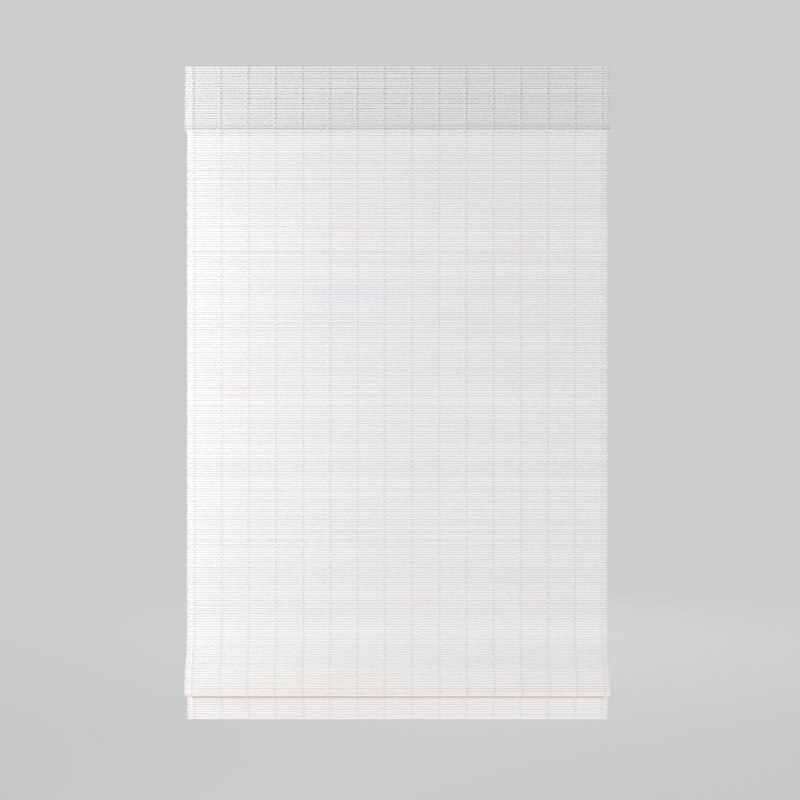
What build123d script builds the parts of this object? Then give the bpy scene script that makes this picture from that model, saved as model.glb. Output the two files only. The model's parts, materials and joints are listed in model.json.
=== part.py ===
from build123d import *
import math
import os

os.makedirs("parts", exist_ok=True)

# A cordless roman shade woven from white painted reeds, made to hang inside a window opening.
# X runs along its width, minus Y faces the room and Z is up, all in millimetres.
# The origin is the middle of the plane that the two brackets are screwed up against.

# Whole shade
shade_width = 902.0
shade_drop = 1398.0
seat_gap = 0.3

# Reed mat: reeds side by side, held by warp threads that run down both of its faces
reed_pitch = 5.36
reeds_per_ridge = 2
reed_thickness = 1.5
groove_thickness = 0.74
ridge_least = 2.5
bevel_share = 0.2
panel_top_drop = 2.5
warp_count = 16
warp_margin_left = 17.5
warp_margin_right = 12.5
thread_width = 2.6
thread_thickness = 0.5
thread_gap = 0.2
thread_bend_count = 3
slit_row_count = 8
slit_height = 1.6
slit_lip = 0.2
slit_land = 4.0

# Soft fold at the bottom, which hangs in front of the rail
fold_reach = 36.0
fold_radius = 106.0
rail_show = 7.0
skirt_show = 47.0
pocket_reed_count = 3
pocket_slack = 2.5

# Wooden bottom rail
rail_thickness = 6.0
rail_height = 26.0
rail_inset = 11.0
rail_edge_radius = 2.8

# Steel headrail channel
headrail_depth = 50.0
headrail_height = 38.0
headrail_wall = 0.8
headrail_lip = 6.0
headrail_inset = 2.0
floor_slot_length = 24.0
floor_slot_width = 4.0

# Plastic end caps
cap_plate = 3.0
cap_plug_length = 10.0
cap_wall = 1.5
cap_chamfer = 1.0

# Steel mounting brackets, which hook under the headrail's lips
bracket_plate = 1.5
bracket_width = 24.0
bracket_depth = 46.0
bracket_end_inset = 70.0
bracket_tab = 1.5
bracket_hook_reach = 3.5
bracket_hook_thickness = 1.5
bracket_hole_diameter = 4.5
bracket_hole_spacing = 24.0

# Hook and loop tapes, and the batten that carries the valance
tape_thickness = 1.2
tape_height = 20.0
tape_drop = 6.0
batten_thickness = 5.0
batten_height = 24.0
batten_inset = 8.0

# Valance
valance_width = 907.0
valance_length = 139.0
valance_top_drop = 2.5
valance_lean = 0.03
valance_hem = 15.0
hem_bend_count = 2

# Lift cords, rings and anchors
cord_diameter = 1.2
cord_gap = 0.1
cord_side_count = 8
outer_warp_count = 3
ring_row_count = 5
ring_outer_diameter = 12.0
ring_inner_diameter = 8.0
ring_height = 2.0
ring_side_count = 12
anchor_width = 12.0
anchor_height = 8.0
anchor_lug_reach = 3.5
anchor_slot_width = 1.6

# Hexagonal lift shaft with a cord spool at each cord
shaft_flats = 6.0
shaft_side_count = 6
shaft_fit = 0.15
shaft_end_margin = 6.0
spool_barrel_diameter = 20.0
spool_barrel_length = 22.5
spool_flange_diameter = 25.2
spool_flange = 1.5
spool_floor_gap = 4.4
cradle_base = 2.0
cradle_wall = 2.5
cradle_rise = 3.0

# Spring motor: two drums geared together, with a ribbon spring that winds from one to the other
gear_distance = 19.0
gear_tooth_count = 12
gear_width = 5.0
gear_backlash = 0.3
gear_addendum_share = 0.8
gear_dedendum_share = 1.25
pressure_angle = math.radians(20.0)
drum_diameter = 9.0
journal_gap = 0.15
spring_width = 16.0
spring_side_play = 1.0
spring_gap = 0.2
spring_thickness = 0.5
spring_turns_thickness = 2.6
spring_side_count = 24
motor_wall = 1.8
motor_gap = 0.5
cover_thickness = 1.5

# One overrun serves every cut
cut_overrun = 1.0


def step_along(station, length, turn):
    """The station reached after a run of this length that turns evenly by this angle."""
    y, z, heading = station
    chord = length
    if turn != 0:
        chord = 2 * length / turn * math.sin(turn / 2)
    bearing = heading + turn / 2
    return (y + chord * math.cos(bearing), z + chord * math.sin(bearing), heading + turn)


def stations_along(start, runs):
    """The stations between reeds, on runs that each have a length, a turn and a number of reeds."""
    places = [start]
    for length, turn, count in runs:
        for _ in range(count):
            places.append(step_along(places[-1], length / count, turn / count))
    return places


def beside(station, distance):
    """The point at this distance from a station, on the face that looks to the room."""
    y, z, heading = station
    return (y + distance * math.sin(heading), z - distance * math.cos(heading))


def crest(first, second, share, distance):
    """The point at this share of the chord between two stations, and this distance from it."""
    heading = math.atan2(second[1] - first[1], second[0] - first[0])
    y = first[0] + share * (second[0] - first[0])
    z = first[1] + share * (second[1] - first[1])
    return beside((y, z, heading), distance)


def draw_mat(places):
    """The outline of a mat's section, with a flat crest on each face of every ridge.

    Two stations too close for a ridge have a flat web between them.
    """
    for side in (1, -1):
        edge = side * groove_thickness / 2
        rise = side * reed_thickness / 2
        for first, second in zip(places, places[1:]):
            start, end = beside(first, edge), beside(second, edge)
            if math.dist(first[:2], second[:2]) < ridge_least:
                Line(start, end)
            else:
                crest_start = crest(first, second, bevel_share, rise)
                crest_end = crest(first, second, 1 - bevel_share, rise)
                Polyline(start, crest_start, crest_end, end)
    for end in (places[0], places[-1]):
        Line(beside(end, groove_thickness / 2), beside(end, -groove_thickness / 2))


def draw_thread(places, lifts, side):
    """The outline of a warp thread that is drawn tight along one face of the mat."""
    inner = reed_thickness / 2 + thread_gap
    near = [beside(place, side * (inner + lift)) for place, lift in zip(places, lifts)]
    far = [beside(place, side * (mat_half + lift)) for place, lift in zip(places, lifts)]
    Polyline(*near, *reversed(far), close=True)


def reed_count(length, per_ridge):
    """How many ridges of this many reeds fill a run."""
    return max(1, round(length / (reed_pitch * per_ridge)))


# Heights and depths that the pieces share
down = -math.pi / 2
mat_half = reed_thickness / 2 + thread_gap + thread_thickness
headrail_top = -bracket_plate - seat_gap
headrail_bottom = headrail_top - headrail_height
headrail_floor = headrail_bottom + headrail_wall
headrail_front = -headrail_depth / 2
headrail_length = shade_width - 2 * (headrail_inset + cap_plate)
bracket_offset = headrail_length / 2 - bracket_end_inset
tape_top = headrail_top - tape_drop
panel_y = headrail_front - 2 * tape_thickness - seat_gap - mat_half
panel_top = headrail_top - panel_top_drop
panel_back = panel_y + mat_half
batten_back = panel_y - mat_half - seat_gap
batten_front = batten_back - batten_thickness
valance_y = batten_front - tape_thickness - seat_gap - reed_thickness / 2

# Warp places, from the left edge to the right
warp_spacing = (shade_width - warp_margin_left - warp_margin_right) / (warp_count - 1)
warp_places = [warp_margin_left - shade_width / 2 + i * warp_spacing for i in range(warp_count)]
thread_planes = [Plane.YZ.offset(x - thread_width / 2) for x in warp_places]

# Levels of the bottom fold, from the hem upwards
hem_level = -shade_drop
rail_bottom = hem_level + skirt_show
rail_top = rail_bottom + rail_height
pocket_spacing = rail_thickness + 2 * seat_gap + reed_thickness
pocket_radius = pocket_spacing / 2
pocket_level = rail_top - rail_thickness / 2 + pocket_slack
nose_radius = (fold_reach - pocket_spacing) / 2
nose_level = rail_bottom + rail_show + reed_thickness / 2 + nose_radius
return_length = pocket_level - nose_level
fold_angle = math.acos(1 - fold_reach / (2 * fold_radius))
fold_length = fold_radius * fold_angle
fold_top = nose_level + 2 * fold_radius * math.sin(fold_angle)
straight_length = panel_top - fold_top
nose_length = math.pi * nose_radius
web_height = slit_height + 2 * slit_lip
pocket_length = math.pi * pocket_radius
skirt_length = pocket_level - hem_level

# Lift line: the cords hang from the front of the spools, through rings behind the panel
cord_places = (warp_places[outer_warp_count], warp_places[-1 - outer_warp_count])
cord_y = panel_back + seat_gap + ring_outer_diameter / 2
shaft_y = cord_y + cord_diameter / 2 + cord_gap + spool_barrel_diameter / 2
shaft_z = headrail_floor + spool_floor_gap + spool_flange_diameter / 2
anchor_level = rail_bottom + rail_height / 2
gather_interval = (headrail_bottom - anchor_level) / (ring_row_count + 1)

# The woven panel: down from the headrail, forward into the fold, round its nose and over the rail
# Webs cut its straight run into bands, and light comes through slits in every second space of each web
panel_start = (panel_y, panel_top, down)
band_length = (straight_length - slit_row_count * web_height) / (slit_row_count + 1)
band_run = (band_length, 0, reed_count(band_length, reeds_per_ridge))
web_run = (web_height, 0, 1)
straight_run = (straight_length, 0, 1)
forward_run = (fold_length, -fold_angle, reed_count(fold_length, reeds_per_ridge))
level_run = (fold_length, fold_angle, reed_count(fold_length, reeds_per_ridge))
nose_run = (nose_length, math.pi, reed_count(nose_length, 1))
return_run = (return_length, 0, reed_count(return_length, 1))
pocket_run = (pocket_length, -math.pi, pocket_reed_count)
skirt_run = (skirt_length, 0, reed_count(skirt_length, reeds_per_ridge))
band_runs = slit_row_count * (band_run, web_run) + (band_run,)
fold_runs = (forward_run, level_run, nose_run, return_run, pocket_run, skirt_run)
panel_runs = band_runs + fold_runs
slit_spacing = band_length + web_height
slit_first = fold_top + band_length + web_height / 2
slit_levels = [slit_first + row * slit_spacing for row in range(slit_row_count)]
slit_middles = [(left + right) / 2 for left, right in zip(warp_places, warp_places[1:])]
slit_places = [(x, panel_y, z) for row, z in enumerate(slit_levels) for x in slit_middles[row % 2 :: 2]]

with BuildPart() as woven_panel:
    with BuildSketch(Plane.YZ):
        with BuildLine():
            draw_mat(stations_along(panel_start, panel_runs))
        make_face()
    extrude(amount=shade_width / 2, both=True)
    with Locations(slit_places):
        Box(warp_spacing - 2 * slit_land, reed_thickness + cut_overrun, slit_height, mode=Mode.SUBTRACT)
woven_panel.part.label = "woven_panel"
export_step(woven_panel.part, "parts/woven_panel.step")

# Warp threads on the room side: down the panel to the fold's nose, then down the skirt
skirt_thread_top = rail_bottom - seat_gap
skirt_end = (panel_y, hem_level, down)
front_thread_runs = (
    straight_run,
    (fold_length, -fold_angle, thread_bend_count),
    (fold_length, fold_angle, thread_bend_count),
)
front_thread_places = stations_along(panel_start, front_thread_runs)
# Where the fold bulges, the thread's corners stand out so that its chords clear the reeds
bulge_radius = fold_radius + mat_half
bulge_lift = bulge_radius / math.cos(fold_angle / thread_bend_count / 2) - bulge_radius
front_thread_lifts = [0] * (thread_bend_count + 1) + [bulge_lift] * (thread_bend_count + 1)

with BuildPart() as front_warp_threads:
    with BuildSketch(*thread_planes):
        with BuildLine():
            draw_thread(front_thread_places, front_thread_lifts, 1)
        make_face()
    extrude(amount=thread_width)
    with BuildSketch(*thread_planes):
        with BuildLine():
            draw_thread([(panel_y, skirt_thread_top, down), skirt_end], (0, 0), 1)
        make_face()
    extrude(amount=thread_width)
front_warp_threads.part.label = "front_warp_threads"
export_step(front_warp_threads.part, "parts/front_warp_threads.step")

# Warp threads on the window side
with BuildPart() as back_warp_threads:
    with BuildSketch(*thread_planes):
        with BuildLine():
            draw_thread(stations_along(panel_start, (straight_run,)), (0, 0), -1)
        make_face()
    extrude(amount=thread_width)
    with BuildSketch(*thread_planes):
        with BuildLine():
            draw_thread([(panel_y, pocket_level, down), skirt_end], (0, 0), -1)
        make_face()
    extrude(amount=thread_width)
back_warp_threads.part.label = "back_warp_threads"
export_step(back_warp_threads.part, "parts/back_warp_threads.step")

# Bottom rail: a slat with a round top edge, carried in the pocket of the mat
with BuildPart() as bottom_rail:
    rail_middle_y = panel_y - pocket_radius
    with BuildSketch(Plane.YZ):
        with Locations((rail_middle_y, (rail_top + rail_bottom) / 2)):
            Rectangle(rail_thickness, rail_height)
    extrude(amount=shade_width / 2 - rail_inset, both=True)
    top_edges = bottom_rail.faces().sort_by(Axis.Z)[-1].edges().filter_by(Axis.X)
    fillet(top_edges, rail_edge_radius)
bottom_rail.part.label = "bottom_rail"
export_step(bottom_rail.part, "parts/bottom_rail.step")

# Valance: a short mat that leans forward, with its bottom edge turned up behind it as a hem
valance_start = (valance_y, -valance_top_drop, down - valance_lean)
valance_end = step_along(valance_start, valance_length, 0)
hem_radius = reed_thickness / 2 + seat_gap
valance_run = (valance_length, 0, reed_count(valance_length, reeds_per_ridge))
hem_turn_run = (math.pi * hem_radius, math.pi, hem_bend_count)
hem_run = (valance_hem, 0, reed_count(valance_hem, reeds_per_ridge))

with BuildPart() as valance:
    with BuildSketch(Plane.YZ):
        with BuildLine():
            draw_mat(stations_along(valance_start, (valance_run, hem_turn_run, hem_run)))
        make_face()
    extrude(amount=valance_width / 2, both=True)
valance.part.label = "valance"
export_step(valance.part, "parts/valance.step")

with BuildPart() as valance_warp_threads:
    with BuildSketch(*thread_planes):
        with BuildLine():
            draw_thread([valance_start, valance_end], (0, 0), 1)
        make_face()
    extrude(amount=thread_width)
valance_warp_threads.part.label = "valance_warp_threads"
export_step(valance_warp_threads.part, "parts/valance_warp_threads.step")

# Tapes and batten: flat strips stacked from the headrail's front face to the back of the valance
batten_length = shade_width - 2 * batten_inset
tape_places = (
    ("headrail_hook_tape", headrail_front, tape_thickness, tape_height, tape_top),
    ("panel_loop_tape", headrail_front - tape_thickness, tape_thickness, tape_height, tape_top),
    ("valance_batten", batten_back, batten_thickness, batten_height, panel_top),
    ("valance_tape", batten_front, tape_thickness, tape_height, panel_top),
)
for strip_name, strip_back, strip_thickness, strip_height, strip_top in tape_places:
    with BuildPart() as strip:
        with Locations((0, strip_back - strip_thickness / 2, strip_top - strip_height / 2)):
            Box(batten_length, strip_thickness, strip_height)
    strip.part.label = strip_name
    export_step(strip.part, f"parts/{strip_name}.step")

# Headrail: a roll-formed channel, open along the top between two lips, with a slot for each cord
with BuildPart() as headrail:
    headrail_middle = (headrail_top + headrail_bottom) / 2
    inner_depth = headrail_depth - 2 * headrail_wall
    inner_height = headrail_height - 2 * headrail_wall
    mouth_depth = headrail_depth - 2 * headrail_lip
    with BuildSketch(Plane.YZ):
        with Locations((0, headrail_middle)):
            Rectangle(headrail_depth, headrail_height)
            Rectangle(inner_depth, inner_height, mode=Mode.SUBTRACT)
        with Locations((0, headrail_top)):
            Rectangle(mouth_depth, 2 * headrail_wall + cut_overrun, mode=Mode.SUBTRACT)
    extrude(amount=headrail_length / 2, both=True)
    with Locations([(x, cord_y, headrail_floor) for x in cord_places]):
        Box(floor_slot_length, floor_slot_width, 2 * headrail_wall + cut_overrun, mode=Mode.SUBTRACT)
headrail.part.label = "headrail"
export_step(headrail.part, "parts/headrail.step")

# End caps: a plate over each end of the channel, with a hollow plug that slides inside it
plug_depth = inner_depth - 2 * seat_gap
plug_height = inner_height - 2 * seat_gap
for side, hand in (("left", -1), ("right", 1)):
    cap_plane = Plane.YZ.offset(hand * headrail_length / 2)
    with BuildPart() as end_cap:
        with BuildSketch(cap_plane):
            with Locations((0, headrail_middle)):
                Rectangle(headrail_depth, headrail_height)
        extrude(amount=hand * cap_plate)
        chamfer(end_cap.faces().sort_by(Axis((0, 0, 0), (hand, 0, 0)))[-1].edges(), cap_chamfer)
        with BuildSketch(cap_plane):
            with Locations((0, headrail_middle)):
                Rectangle(plug_depth, plug_height)
                Rectangle(plug_depth - 2 * cap_wall, plug_height - 2 * cap_wall, mode=Mode.SUBTRACT)
        extrude(amount=-hand * cap_plug_length)
    end_cap.part.label = f"end_cap_{side}"
    export_step(end_cap.part, f"parts/end_cap_{side}.step")

# Mounting brackets: a plate above the lips, with two tabs whose hooks reach out under them
tab_outer = mouth_depth / 2 - seat_gap
hook_top = headrail_top - headrail_wall - seat_gap
hook_bottom = hook_top - bracket_hook_thickness
hook_outer = tab_outer + bracket_hook_reach
for side, hand in (("left", -1), ("right", 1)):
    bracket_x = hand * bracket_offset
    with BuildPart() as bracket:
        with BuildSketch(Plane.YZ.offset(bracket_x - bracket_width / 2)):
            with BuildLine():
                Polyline(
                    (0, 0),
                    (bracket_depth / 2, 0),
                    (bracket_depth / 2, -bracket_plate),
                    (tab_outer, -bracket_plate),
                    (tab_outer, hook_top),
                    (hook_outer, hook_top),
                    (hook_outer, hook_bottom),
                    (tab_outer - bracket_tab, hook_bottom),
                    (tab_outer - bracket_tab, -bracket_plate),
                    (0, -bracket_plate),
                    close=True,
                )
            make_face()
            mirror(about=Plane.YZ)
        extrude(amount=bracket_width)
        with Locations([(bracket_x, turn * bracket_hole_spacing / 2, 0) for turn in (-1, 1)]):
            Hole(bracket_hole_diameter / 2)
    bracket.part.label = f"mounting_bracket_{side}"
    export_step(bracket.part, f"parts/mounting_bracket_{side}.step")

# Lift shaft: one hexagonal rod through the motor and both spools
spool_length = spool_barrel_length + spool_flange
shaft_corner = shaft_flats / 2 / math.cos(math.pi / 6)
shaft_half = cord_places[1] + spool_length / 2 + cradle_wall + shaft_end_margin
bore_flats = shaft_flats + 2 * shaft_fit

with BuildPart() as lift_shaft:
    with BuildSketch(Plane.YZ):
        with Locations((shaft_y, shaft_z)):
            RegularPolygon(radius=shaft_flats / 2, side_count=shaft_side_count, major_radius=False)
    extrude(amount=shaft_half, both=True)
lift_shaft.part.label = "lift_shaft"
export_step(lift_shaft.part, "parts/lift_shaft.step")

# Cord spools: barrels with a flange at the outer end, driven by the shaft through a hexagonal bore
with BuildPart() as cord_spools:
    for cord_x, hand in zip(cord_places, (-1, 1)):
        barrel_plane = Plane(
            origin=(cord_x - hand * spool_barrel_length / 2, shaft_y, shaft_z),
            x_dir=(0, 1, 0),
            z_dir=(hand, 0, 0),
        )
        with BuildSketch(barrel_plane):
            Circle(spool_barrel_diameter / 2)
            RegularPolygon(
                radius=bore_flats / 2, side_count=shaft_side_count, major_radius=False, mode=Mode.SUBTRACT
            )
        extrude(amount=spool_barrel_length)
        with BuildSketch(barrel_plane.offset(spool_barrel_length)):
            Circle(spool_flange_diameter / 2)
            RegularPolygon(
                radius=bore_flats / 2, side_count=shaft_side_count, major_radius=False, mode=Mode.SUBTRACT
            )
        extrude(amount=spool_flange)
cord_spools.part.label = "cord_spools"
export_step(cord_spools.part, "parts/cord_spools.step")

# Spool cradles: a base on the headrail's floor, with two notched walls that the shaft lies in
cradle_depth = spool_flange_diameter + 2 * seat_gap
cradle_inner = spool_length + 2 * seat_gap
cradle_length = cradle_inner + 2 * cradle_wall
cradle_wall_height = shaft_z + cradle_rise - headrail_floor
notch_half = shaft_corner + shaft_fit

for side, hand, cord_x in zip(("left", "right"), (-1, 1), cord_places):
    cradle_x = cord_x + hand * spool_flange / 2
    with BuildPart() as spool_cradle:
        with Locations((cradle_x, shaft_y, headrail_floor)):
            Box(
                cradle_length,
                cradle_depth,
                cradle_wall_height,
                align=(Align.CENTER, Align.CENTER, Align.MIN),
            )
        with Locations((cradle_x, shaft_y, headrail_floor + cradle_base)):
            Box(
                cradle_inner,
                cradle_depth + cut_overrun,
                cradle_wall_height,
                align=(Align.CENTER, Align.CENTER, Align.MIN),
                mode=Mode.SUBTRACT,
            )
        with Locations((cradle_x, shaft_y, shaft_z - notch_half)):
            Box(
                cradle_length + cut_overrun,
                2 * notch_half,
                cradle_wall_height,
                align=(Align.CENTER, Align.CENTER, Align.MIN),
                mode=Mode.SUBTRACT,
            )
        with Locations((cord_x, cord_y, headrail_floor)):
            Box(floor_slot_length, floor_slot_width, 2 * cradle_base + cut_overrun, mode=Mode.SUBTRACT)
    spool_cradle.part.label = f"spool_cradle_{side}"
    export_step(spool_cradle.part, f"parts/spool_cradle_{side}.step")

    # Cord anchor: a lug sewn to the back of the skirt at the rail, with a slot for the cord's end
    with BuildPart() as cord_anchor:
        anchor_back = panel_back + seat_gap
        anchor_depth = cord_y + anchor_lug_reach - anchor_back
        with Locations((cord_x, anchor_back + anchor_depth / 2, anchor_level)):
            Box(anchor_width, anchor_depth, anchor_height)
        with Locations((cord_x, cord_y - anchor_slot_width / 2, anchor_level)):
            Box(
                anchor_slot_width,
                anchor_depth,
                anchor_height + cut_overrun,
                align=(Align.CENTER, Align.MIN, Align.CENTER),
                mode=Mode.SUBTRACT,
            )
    cord_anchor.part.label = f"cord_anchor_{side}"
    export_step(cord_anchor.part, f"parts/cord_anchor_{side}.step")

    # Lift cord: from the front of the spool's barrel straight down to the anchor
    cord_length = shaft_z - anchor_level + anchor_height / 2
    with BuildPart() as lift_cord:
        with BuildSketch(Plane.XY.offset(shaft_z)):
            with Locations((cord_x, cord_y)):
                RegularPolygon(cord_diameter / 2, cord_side_count)
        extrude(amount=-cord_length)
    lift_cord.part.label = f"lift_cord_{side}"
    export_step(lift_cord.part, f"parts/lift_cord_{side}.step")

# Cord rings, in rows sewn to the back of the panel
for row in range(1, ring_row_count + 1):
    row_level = headrail_bottom - row * gather_interval
    with BuildPart() as cord_rings:
        with BuildSketch(Plane.XY.offset(row_level - ring_height / 2)):
            with Locations([(cord_x, cord_y) for cord_x in cord_places]):
                RegularPolygon(ring_outer_diameter / 2, ring_side_count)
                RegularPolygon(ring_inner_diameter / 2, ring_side_count, mode=Mode.SUBTRACT)
        extrude(amount=ring_height)
    cord_rings.part.label = f"cord_rings_row_{row}"
    export_step(cord_rings.part, f"parts/cord_rings_row_{row}.step")

# Spring motor drums: a gear on a core that the spring winds on, whose ends are the journals
gear_radius = gear_distance / 2
gear_module = 2 * gear_radius / gear_tooth_count
gear_tip = gear_radius + gear_addendum_share * gear_module
gear_root = gear_radius - gear_dedendum_share * gear_module
gear_base = gear_radius * math.cos(pressure_angle)
reel_y = shaft_y + gear_distance
drum_width = spring_width + 2 * spring_side_play
motor_inner = gear_width + drum_width + 2 * seat_gap
motor_length = motor_inner + 2 * motor_wall
gear_start = seat_gap - motor_inner / 2


def involute(radius):
    """The angle that the involute of the base circle has turned through at this radius."""
    slope = math.sqrt((radius / gear_base) ** 2 - 1)
    return slope - math.atan(slope)


def flank_angle(radius):
    """Half of a tooth's angle at this radius, thinned for backlash at the pitch circle."""
    pitch_half = math.pi / (2 * gear_tooth_count) - gear_backlash / (4 * gear_radius)
    return pitch_half + involute(gear_radius) - involute(max(radius, gear_base))


def polar(radius, angle):
    """The point at this radius and angle."""
    return (radius * math.cos(angle), radius * math.sin(angle))


def gear_points(phase):
    """The corners of a spur gear whose straight flanks join the root and tip circles."""
    points = []
    for tooth in range(gear_tooth_count):
        centre = phase + tooth * 2 * math.pi / gear_tooth_count
        rise = [polar(radius, centre - flank_angle(radius)) for radius in (gear_root, gear_tip)]
        fall = [polar(radius, centre + flank_angle(radius)) for radius in (gear_tip, gear_root)]
        points += rise + fall
    return points


drum_places = (
    ("output_drum", shaft_y, 0),
    ("storage_reel", reel_y, math.pi / gear_tooth_count),
)
for drum_name, drum_y, gear_phase in drum_places:
    gear_plane = Plane(origin=(gear_start, drum_y, shaft_z), x_dir=(0, 1, 0), z_dir=(1, 0, 0))
    with BuildPart() as motor_drum:
        with BuildSketch(gear_plane):
            with BuildLine():
                Polyline(*gear_points(gear_phase), close=True)
            make_face()
        extrude(amount=gear_width)
        with BuildSketch(Plane.YZ):
            with Locations((drum_y, shaft_z)):
                Circle(drum_diameter / 2)
        extrude(amount=motor_length / 2, both=True)
        if drum_name == "output_drum":
            with BuildSketch(gear_plane):
                RegularPolygon(radius=bore_flats / 2, side_count=shaft_side_count, major_radius=False)
            extrude(amount=motor_length, both=True, mode=Mode.SUBTRACT)
    motor_drum.part.label = drum_name
    export_step(motor_drum.part, f"parts/{drum_name}.step")

# Ribbon spring: its turns lie on the output drum while the shade is down, and its end on the reel
spring_inner = drum_diameter / 2 + spring_gap
spring_roll = spring_inner + spring_turns_thickness
reel_top = drum_diameter / 2 + spring_gap + spring_thickness
with BuildPart() as motor_spring:
    with BuildSketch(Plane.YZ.offset(gear_start + gear_width + spring_side_play)):
        with Locations((shaft_y, shaft_z)):
            RegularPolygon(spring_roll, spring_side_count)
        with BuildLine():
            Polyline(
                (shaft_y, shaft_z + spring_roll),
                (reel_y, shaft_z + reel_top),
                (reel_y, shaft_z + reel_top - spring_thickness),
                (shaft_y, shaft_z + spring_roll - spring_thickness),
                close=True,
            )
        make_face()
        with Locations((shaft_y, shaft_z)):
            RegularPolygon(spring_inner, spring_side_count, major_radius=False, mode=Mode.SUBTRACT)
    extrude(amount=spring_width)
motor_spring.part.label = "motor_spring"
export_step(motor_spring.part, "parts/motor_spring.step")

# Motor housing: a tray on the headrail's floor, notched for the journals of both drums
housing_front = shaft_y - gear_tip - motor_gap
housing_back = reel_y + gear_tip + motor_gap
housing_top = shaft_z + gear_tip + motor_gap
housing_middle = (housing_front + housing_back) / 2
housing_inner_depth = housing_back - housing_front
housing_depth = housing_inner_depth + 2 * motor_wall
housing_height = housing_top - headrail_floor
journal_half = drum_diameter / 2 + journal_gap
with BuildPart() as spring_motor_housing:
    with Locations((0, housing_middle, headrail_floor)):
        Box(motor_length, housing_depth, housing_height, align=(Align.CENTER, Align.CENTER, Align.MIN))
    with Locations((0, housing_middle, headrail_floor + motor_wall)):
        Box(
            motor_inner,
            housing_inner_depth,
            housing_height,
            align=(Align.CENTER, Align.CENTER, Align.MIN),
            mode=Mode.SUBTRACT,
        )
    with Locations([(0, y, shaft_z - journal_half) for y in (shaft_y, reel_y)]):
        Box(
            motor_length + cut_overrun,
            2 * journal_half,
            housing_height,
            align=(Align.CENTER, Align.CENTER, Align.MIN),
            mode=Mode.SUBTRACT,
        )
spring_motor_housing.part.label = "spring_motor_housing"
export_step(spring_motor_housing.part, "parts/spring_motor_housing.step")

# Motor cover: a lid with a tongue in each notch, which keeps the journals down
with BuildPart() as spring_motor_cover:
    with Locations((0, housing_middle, housing_top)):
        Box(motor_length, housing_depth, cover_thickness, align=(Align.CENTER, Align.CENTER, Align.MIN))
    tongue_middle = (motor_inner + motor_wall) / 2
    tongue_height = housing_top - shaft_z - journal_half
    with Locations(
        [(hand * tongue_middle, y, housing_top) for hand in (-1, 1) for y in (shaft_y, reel_y)]
    ):
        Box(motor_wall, drum_diameter, tongue_height, align=(Align.CENTER, Align.CENTER, Align.MAX))
spring_motor_cover.part.label = "spring_motor_cover"
export_step(spring_motor_cover.part, "parts/spring_motor_cover.step")
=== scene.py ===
# %% [markdown]
# A cordless roman shade, woven from white painted reeds, hangs from its headrail in front of the camera.
# The imported model brings every piece of it at its true size and place, so the frame is loaded first
# and nothing in it is moved. Its box is kept, and the box of the finished look is printed at the end.

# %% Load the frame
import json
import math

import bpy
import numpy as np
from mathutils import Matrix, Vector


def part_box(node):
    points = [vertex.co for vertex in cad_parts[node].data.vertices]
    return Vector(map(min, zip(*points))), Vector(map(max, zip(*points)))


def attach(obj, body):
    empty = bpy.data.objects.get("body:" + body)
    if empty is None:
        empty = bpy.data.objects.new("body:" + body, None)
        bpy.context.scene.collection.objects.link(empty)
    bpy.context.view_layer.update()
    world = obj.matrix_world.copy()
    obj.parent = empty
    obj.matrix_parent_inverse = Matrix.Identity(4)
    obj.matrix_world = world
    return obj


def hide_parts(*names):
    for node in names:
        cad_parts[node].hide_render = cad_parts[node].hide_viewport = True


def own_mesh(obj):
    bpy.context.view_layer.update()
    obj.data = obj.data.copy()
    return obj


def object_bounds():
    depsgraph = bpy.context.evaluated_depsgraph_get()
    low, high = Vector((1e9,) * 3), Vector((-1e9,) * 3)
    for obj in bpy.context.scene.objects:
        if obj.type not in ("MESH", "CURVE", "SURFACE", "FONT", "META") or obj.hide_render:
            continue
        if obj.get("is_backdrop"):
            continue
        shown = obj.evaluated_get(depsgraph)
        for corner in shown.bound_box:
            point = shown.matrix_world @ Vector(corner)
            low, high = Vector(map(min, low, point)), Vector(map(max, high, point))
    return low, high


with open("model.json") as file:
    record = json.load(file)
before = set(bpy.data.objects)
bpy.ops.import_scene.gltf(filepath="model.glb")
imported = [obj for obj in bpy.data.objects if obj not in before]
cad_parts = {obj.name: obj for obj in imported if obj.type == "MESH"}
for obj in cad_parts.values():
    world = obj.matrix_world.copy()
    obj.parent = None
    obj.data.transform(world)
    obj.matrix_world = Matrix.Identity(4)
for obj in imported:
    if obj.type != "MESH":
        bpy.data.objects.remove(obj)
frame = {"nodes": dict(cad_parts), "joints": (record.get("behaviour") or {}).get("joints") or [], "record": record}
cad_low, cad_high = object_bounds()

print("CAD box", [round(v, 4) for v in cad_low], [round(v, 4) for v in cad_high])

# %% [markdown]
# The camera stands straight in front of the shade, at the middle of its height, almost three metres away.
# A longer lens from further off would flatten the fold at the bottom, and a wider one would spread it,
# so the distance comes from how much wider the fold looks than the skirt behind it.

# %% Camera
camera_place = (0.00535, -2.829, -0.715)
sensor_width, lens = 36.0, 58.86
scene = bpy.context.scene
camera_data = bpy.data.cameras.new("camera")
camera_data.sensor_width, camera_data.lens = sensor_width, lens
camera = bpy.data.objects.new("camera", camera_data)
camera.location = camera_place
camera.rotation_euler = (math.pi / 2, 0.0, 0.0)
scene.collection.objects.link(camera)
scene.camera = camera
scene.view_settings.view_transform = "Standard"
print("camera", camera_place, "lens", lens)

# %% [markdown]
# Shader sums read best as sums. This small class wraps one output of a node, so that 1 - mask or
# tone * 0.2 adds the Math nodes by itself. Every other node comes from its one method, node, which takes
# the node's type, its settings and what goes into its sockets.


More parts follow.
